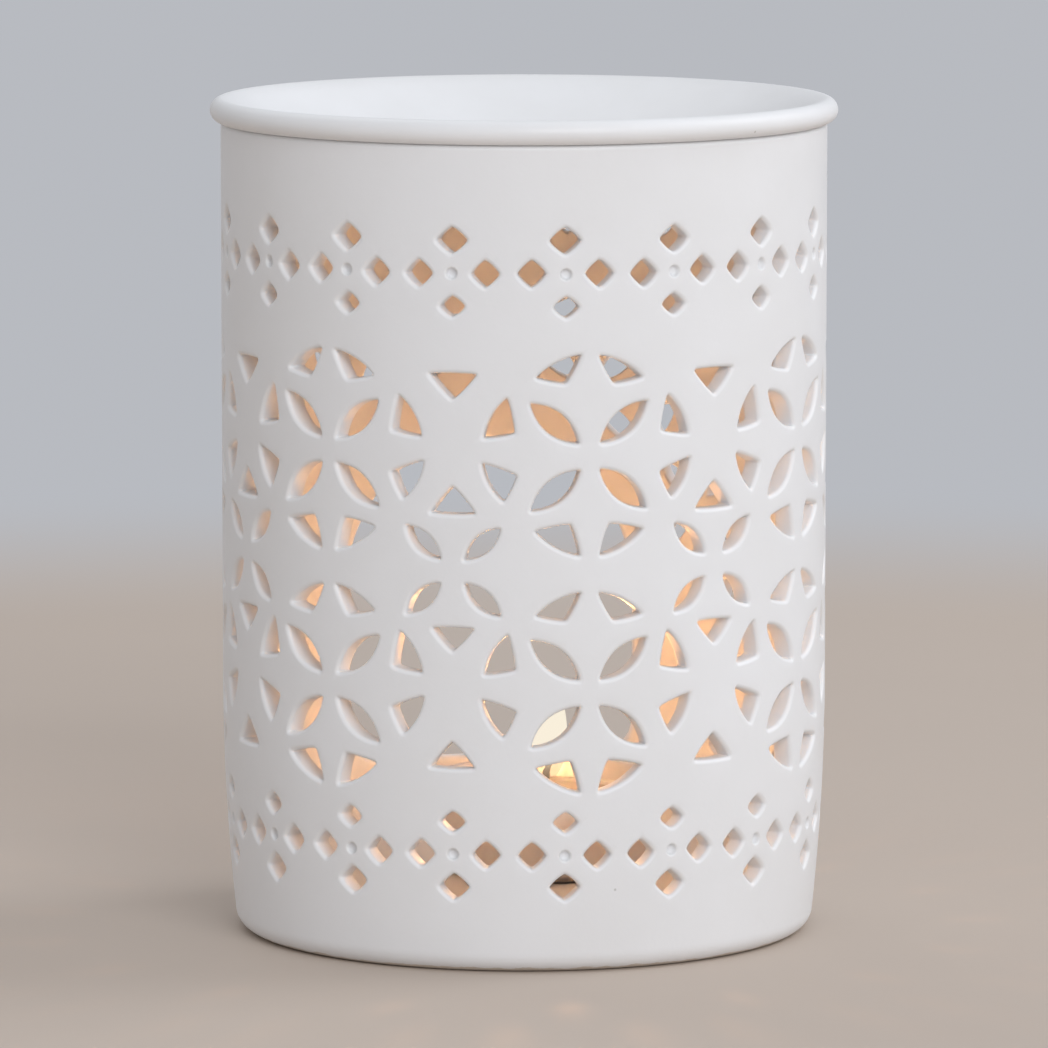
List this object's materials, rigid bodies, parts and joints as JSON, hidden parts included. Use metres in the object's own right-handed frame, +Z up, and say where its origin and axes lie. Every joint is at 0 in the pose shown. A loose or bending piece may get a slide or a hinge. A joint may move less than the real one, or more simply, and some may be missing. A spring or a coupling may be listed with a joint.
{
  "type": "oil burner",
  "caption": "Pierced white ceramic oil burner with a lift-off shallow dish and an arched opening for a tea light at the back.",
  "frame": {"origin": "middle of the foot, on the surface that the burner stands on", "axes": "+Z up, a column of rosettes facing -Y, the arched opening towards +Y and 4 degrees off it"},
  "size_m": [0.105, 0.105, 0.14],
  "materials": {
    "body_glaze": "matte white glaze",
    "dish_glaze": "satin white glaze",
    "foil": "pressed foil",
    "wax": "paraffin wax, molten on top",
    "wick_cotton": "burnt cotton",
    "tab_metal": "tinned steel"
  },
  "bodies": {
    "burner": {"burner_body": "body_glaze"},
    "dish": {"oil_dish": "dish_glaze"},
    "tealight": {"tealight_cup": "foil", "tealight_wax": "wax", "wick": "wick_cotton", "wick_tab": "tab_metal"}
  },
  "joints": [
    {"name": "dish_lift", "type": "slide", "parent": "burner", "child": "dish", "axis": [0, 0, 1], "range_m": [0, 0.05]},
    {"name": "tealight_slide", "type": "slide", "parent": "burner", "child": "tealight", "axis": [0, 0.891, 0.454], "range_m": [0, 0.09]}
  ]
}
